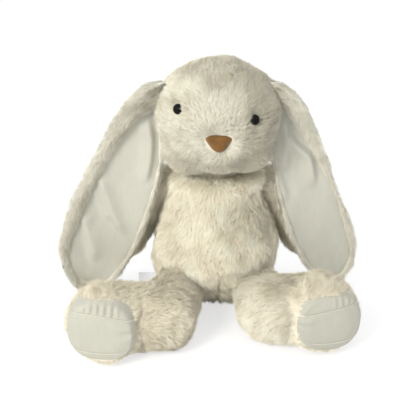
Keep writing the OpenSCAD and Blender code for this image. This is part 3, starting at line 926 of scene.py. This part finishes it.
def leg(s):
    side = "left" if s < 0 else "right"
    body = side + "_leg"
    fp = foot_p.copy()
    fp[:, 0] = np.maximum(fp[:, 0] - 2.6, 0)
    fp[:, 1] = np.clip(fp[:, 1], 2.6, 50 - 2.4)
    fp[0, 0] = fp[-1, 0] = 0
    fv, ff = lathe(fp, 80)
    V, F = remesh([
        ball(mir(HIP, s), 23.4),
        rod(mir(HIP, s), mir(KNEE[s], s), 23.0, 29.0),
        ball(mir(KNEE[s], s), 30.6),
        rod(mir(KNEE[s], s) + [0, -2, 0], mir(FOOT[s] + [-6, -16, -1], s), 30.5, 33.5),
        (foot_world(s, fv) - SH, ff),
    ], VOX)
    V = relax(V, F, 12)
    V = world(V)
    q = foot_local(s, V)
    N = normals(V, F)
    # a crease where the pad's inner side meets the leg, the cloth under the pad pressed in
    cx, cy, hx, hy = PAD[s]
    inner = -s * (q[:, 0] - cx) / hx
    crease = np.exp(-(((inner - 1.12) / 0.14) ** 2)) * smooth(18, 34, q[:, 2]) * (np.abs(q[:, 1]) < 27)
    V = V - N * (4.5 * crease)[:, None]
    under = smooth(0.96, 0.85, pad_inside(s, q)) * smooth(14, 24, q[:, 2])
    V = V - N * (1.0 * under)[:, None]
    V[:, 2] = np.maximum(V[:, 2], 1.4)

    def where(P):
        q_ = foot_local(s, P)
        on = smooth(0.99, 0.89, pad_inside(s, q_)) * smooth(14, 22, q_[:, 2])
        return (1 - on) * smooth(1.5, 5, P[:, 2])

    def comb(P):
        q_ = foot_local(s, P)
        out = foot_world(s, np.stack([q_[:, 0] * 1.0, q_[:, 1] * 1.0, q_[:, 2] * 0 - 12], 1)) - foot_world(s, np.zeros((1, 3)))
        w = smooth(0.8, 1.6, inner_of(q_))[:, None]
        return unit(out) * (1 - w) + w * np.array([-s * 0.85, -0.1, -0.45]) + [0, 0, -0.2]

    def inner_of(q_):
        return -s * (q_[:, 0] - cx) / hx

    # painted shade and light in the legs' pile: the left leg is painted darker and the right one lighter, and the top
    # of each foot is painted darker against the lamp's light there
    fur(f"leg_{side}", V, F, body, comb, 8.6, "limb", LIMB, [f"leg_cover_{side}", f"leg_stuffing_{side}"], lean=(38, 72), clump=0.34, cell=5.2, shade=lambda P: (-0.4 if s < 0 else 0.2) - 0.6 * smooth(52, 66, P[:, 2]) * smooth(2, 16, foot_local(s, P)[:, 2]),
        short=lambda P: 1 - 0.3 * smooth(1.4, 1.02, pad_inside(s, foot_local(s, P))) * smooth(8, 26, foot_local(s, P)[:, 2]),
        lumps=(2.0, 1.1, 0.5), seed=90 + s, where=where, density=2.0)

    # the pad: a grid pressed round the foot's front, with pleats in its upper band
    na, nb = ((110, 100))
    A, B = np.meshgrid(np.linspace(-1, 1, na), np.linspace(-1, 1, nb))
    A, B = A.ravel(), B.ravel()
    r_ = np.maximum(np.abs(A), np.abs(B))
    th = np.arctan2(B, A)
    sup = r_ / np.maximum((np.abs(np.cos(th)) ** 2.7 + np.abs(np.sin(th)) ** 2.7) ** (1 / 2.7), 1e-9)
    x, y = cx + hx * sup * np.cos(th), cy + hy * sup * np.sin(th)
    rho = np.hypot(x, y)
    z = foot_front(np.minimum(rho, 37.4)) - np.maximum(rho - 36.5, 0) * 1.6 - 1.6
    z += 2.6 * (1 - r_**2.5) - 3.4 * smooth(0.90, 1.0, r_)
    xs = s * (x - cx) / hx  # 1 at the outer side, -1 at the inner side
    yt = (y - cy) / hy
    # upper stitch line dips towards the inner side on the left foot
    line_y = 0.60 - 0.10 * xs * (-1) - 0.14 * xs**2 if s < 0 else 0.50 + 0.16 * xs
    low_y = -0.66 + 0.10 * xs**2
    up = yt - line_y
    z -= 1.1 * np.exp(-((up / 0.03) ** 2)) + 0.5 * np.exp(-(((yt - low_y) / 0.03) ** 2))
    zone = smooth(0.02, 0.12, up) * smooth(1.0, 0.9, r_) * (smooth(-0.75, -0.4, xs) * smooth(0.62, 0.2, xs) if s < 0 else 0.45 * smooth(-0.2, 0.2, xs))
    z += 1.15 * zone * np.sin((xs * hx) * 2 * math.pi / 6.6 + 0.7 * yt) + 0.5 * smooth(0.0, 0.2, up)
    z += 0.8 * smooth(-0.02, -0.5, yt - line_y) * (1 - r_**2)
    # drag lines from the inner corner
    q3 = np.stack([x, y, 0 * x + 30 * s], 1)
    z += 0.5 * vnoise(q3 * [1, 0.6, 1], 15, 101) * (1 - r_) * 2
    fan = np.exp(-((np.hypot(xs + 0.95, yt - 0.1) / 0.5) ** 2))
    z += 0.9 * fan * np.sin(np.arctan2(yt - 0.1, xs + 1.3) * 9) * (r_ < 0.97)
    PV = foot_world(s, np.stack([x, y, z], 1))
    PV[:, 2] = np.maximum(PV[:, 2], 0.3)
    i0 = (np.arange(nb - 1)[:, None] * na + np.arange(na - 1)[None]).ravel()
    PF = np.stack([i0, i0 + 1, i0 + na + 1, i0 + na], 1)
    if normals(PV, PF)[:, 1].mean() > 0:
        PF = PF[:, ::-1]
    pad = build(f"pad_{side}", PV, [(PF, 0)], [velboa])
    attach(pad, body)
    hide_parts(f"foot_sole_{side}")

    # the two stitched lines as small thread lengths lying in their grooves
    def pad_point(xs_, yt_, lift):
        x_, y_ = cx + s * hx * xs_, cy + hy * yt_
        k = ((x - x_) ** 2 + (y - y_) ** 2).argmin()
        return np.array([x_, y_, z[k] + lift])

    bits, faces, cnt = [], [], 0
    for fn, x0, x1 in ((0, -0.93, 0.86), (1, -0.55, 0.72)):
        xx = np.arange(x0, x1, 0.072)
        for a_ in xx:
            pts = []
            for t_ in np.linspace(0, 0.056, 4):
                v_ = a_ + t_
                yy = (0.60 + 0.10 * v_ - 0.14 * v_**2 if s < 0 else 0.50 + 0.16 * v_) if fn == 0 else -0.66 + 0.10 * v_**2
                pts.append(pad_point(v_, yy, 0.15 + 0.7 * math.sin(t_ / 0.056 * math.pi)))
            pts = np.array(pts)
            for i, p_ in enumerate(pts):
                rr = 0.42 if 0 < i < 3 else 0.25
                bits += [p_ + [0, rr, 0], p_ + [0, 0, rr], p_ - [0, rr, 0], p_ - [0, 0, rr]]
            for i in range(3):
                for c_ in range(4):
                    faces.append([cnt + i * 4 + c_, cnt + i * 4 + (c_ + 1) % 4, cnt + (i + 1) * 4 + (c_ + 1) % 4, cnt + (i + 1) * 4 + c_])
            faces += [[cnt, cnt + 3, cnt + 2, cnt + 1], [cnt + 12, cnt + 13, cnt + 14, cnt + 15]]
            cnt += 16
    st = build(f"stitches_{side}", foot_world(s, np.array(bits)), [(np.array(faces), 0)], [thread])
    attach(st, body)


leg(-1)
leg(1)

# ---------------------------------------------------------------- the blank label at the left seam
m, nt, b = material("label_tape")
co = node(nt, "ShaderNodeTexCoord").outputs["Object"]
wv = node(nt, "ShaderNodeTexWave", _Scale=900.0, _Distortion=0.3)
nt.links.new(co, wv.inputs["Vector"])
nt.links.new(ramp(nt, added(nt, wv.outputs["Fac"], noise(nt, co, 300, 3), 0.5, 0.5), [(0.3, (0.80, 0.83, 0.88)), (0.7, (0.88, 0.90, 0.94))]), b.inputs["Base Color"])
b.inputs["Roughness"].default_value = 0.42
b.inputs["Sheen Weight"].default_value = 0.2
bumped(nt, b, wv.outputs["Fac"], 0.3, 0.0003)
lo, hi = (np.array(x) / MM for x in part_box("care_label"))
nx, nz = 26, 12
X, Z = np.meshgrid(np.linspace(0, 1, nx), np.linspace(0, 1, nz))
X, Z = X.ravel(), Z.ravel()
LV = np.stack([hi[0] - (hi[0] - lo[0]) * X, (lo[1] + hi[1]) / 2 + 1.6 * np.sin(X * 3.0) * (0.4 + Z), lo[2] + (hi[2] - lo[2]) * Z + 1.2 * X * X], 1)
i0 = (np.arange(nz - 1)[:, None] * nx + np.arange(nx - 1)[None]).ravel()
label = build("label", LV, [(np.stack([i0, i0 + 1, i0 + nx + 1, i0 + nx], 1), 0)], [m])
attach(label, "torso")
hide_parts("care_label")

# ---------------------------------------------------------------- floor, light, camera
m, nt, b = material("floor_paper")
co = node(nt, "ShaderNodeTexCoord").outputs["Object"]
nt.links.new(ramp(nt, noise(nt, co, 3, 2), [(0.3, (0.93, 0.93, 0.93)), (0.7, (0.95, 0.95, 0.95))]), b.inputs["Base Color"])
b.inputs["Roughness"].default_value = 0.9
b.inputs["Specular IOR Level"].default_value = 0.1
# the paper is lit from behind as far as the camera sees, like a light table
glow = node(nt, "ShaderNodeEmission")
glow.inputs["Color"].default_value = (1, 1, 1, 1)
glow.inputs["Strength"].default_value = 1.2
seen = node(nt, "ShaderNodeLightPath")
share = node(nt, "ShaderNodeMath")
share.operation = "MULTIPLY"
share.inputs[1].default_value = 0.55
nt.links.new(seen.outputs["Is Camera Ray"], share.inputs[0])
both = node(nt, "ShaderNodeMixShader")
out_ = next(n for n in nt.nodes if n.type == "OUTPUT_MATERIAL")
nt.links.new(share.outputs[0], both.inputs[0])
nt.links.new(b.outputs[0], both.inputs[1])
nt.links.new(glow.outputs[0], both.inputs[2])
nt.links.new(both.outputs[0], out_.inputs["Surface"])
me = bpy.data.meshes.new("floor")
R = 12
me.from_pydata([(-R, -R, 0), (R, -R, 0), (R, R, 0), (-R, R, 0)], [], [(0, 1, 2, 3)])
me.materials.append(m)
floor = bpy.data.objects.new("floor", me)
bpy.context.scene.collection.objects.link(floor)

w = bpy.data.worlds.new("studio")
bpy.context.scene.world = w
w.use_nodes = True
w.node_tree.nodes["Background"].inputs[0].default_value = (0.97, 0.985, 1.0, 1)
w.node_tree.nodes["Background"].inputs[1].default_value = 0.76
wt_ = w.node_tree
seen = wt_.nodes.new("ShaderNodeLightPath")
white = wt_.nodes.new("ShaderNodeBackground")
white.inputs[0].default_value = (1, 1, 1, 1)
white.inputs[1].default_value = 1.0
both = wt_.nodes.new("ShaderNodeMixShader")
wt_.links.new(seen.outputs["Is Camera Ray"], both.inputs[0])
wt_.links.new(wt_.nodes["Background"].outputs[0], both.inputs[1])
wt_.links.new(white.outputs[0], both.inputs[2])
wt_.links.new(both.outputs[0], wt_.nodes["World Output"].inputs["Surface"])


def lamp(name, place, target, size, power, colour):
    d = bpy.data.lights.new(name, "AREA")
    d.shape, d.size, d.energy, d.color = "DISK", size, power, colour
    o = bpy.data.objects.new(name, d)
    o.location = place
    o.rotation_euler = (Vector(target) - Vector(place)).to_track_quat("-Z", "Y").to_euler()
    bpy.context.scene.collection.objects.link(o)


lamp("key", (-0.80, -1.15, 0.95), (0, 0, 0.12), 0.5, 19.0, (1.0, 0.985, 0.94))
lamp("top", (-0.3, 0.6, 2.7), (0, 0.1, 0), 3.2, 14.0, (1.0, 1.0, 1.0))

target = np.array([-2.4, -17, 125.0]) * MM
az, el = math.radians(-2.5), math.radians(22)
direction = np.array([math.sin(az) * math.cos(el), -math.cos(az) * math.cos(el), math.sin(el)])
cam = bpy.data.cameras.new("camera")
cam.lens, cam.sensor_width = 750 / 416 * 36, 36
cam.clip_start, cam.clip_end = 0.01, 60
co_ = bpy.data.objects.new("camera", cam)
co_.location = target + direction * 0.75
co_.rotation_euler = Vector(-direction).to_track_quat("-Z", "Y").to_euler()
bpy.context.scene.collection.objects.link(co_)
bpy.context.scene.camera = co_
bpy.context.scene.view_settings.view_transform = "Standard"
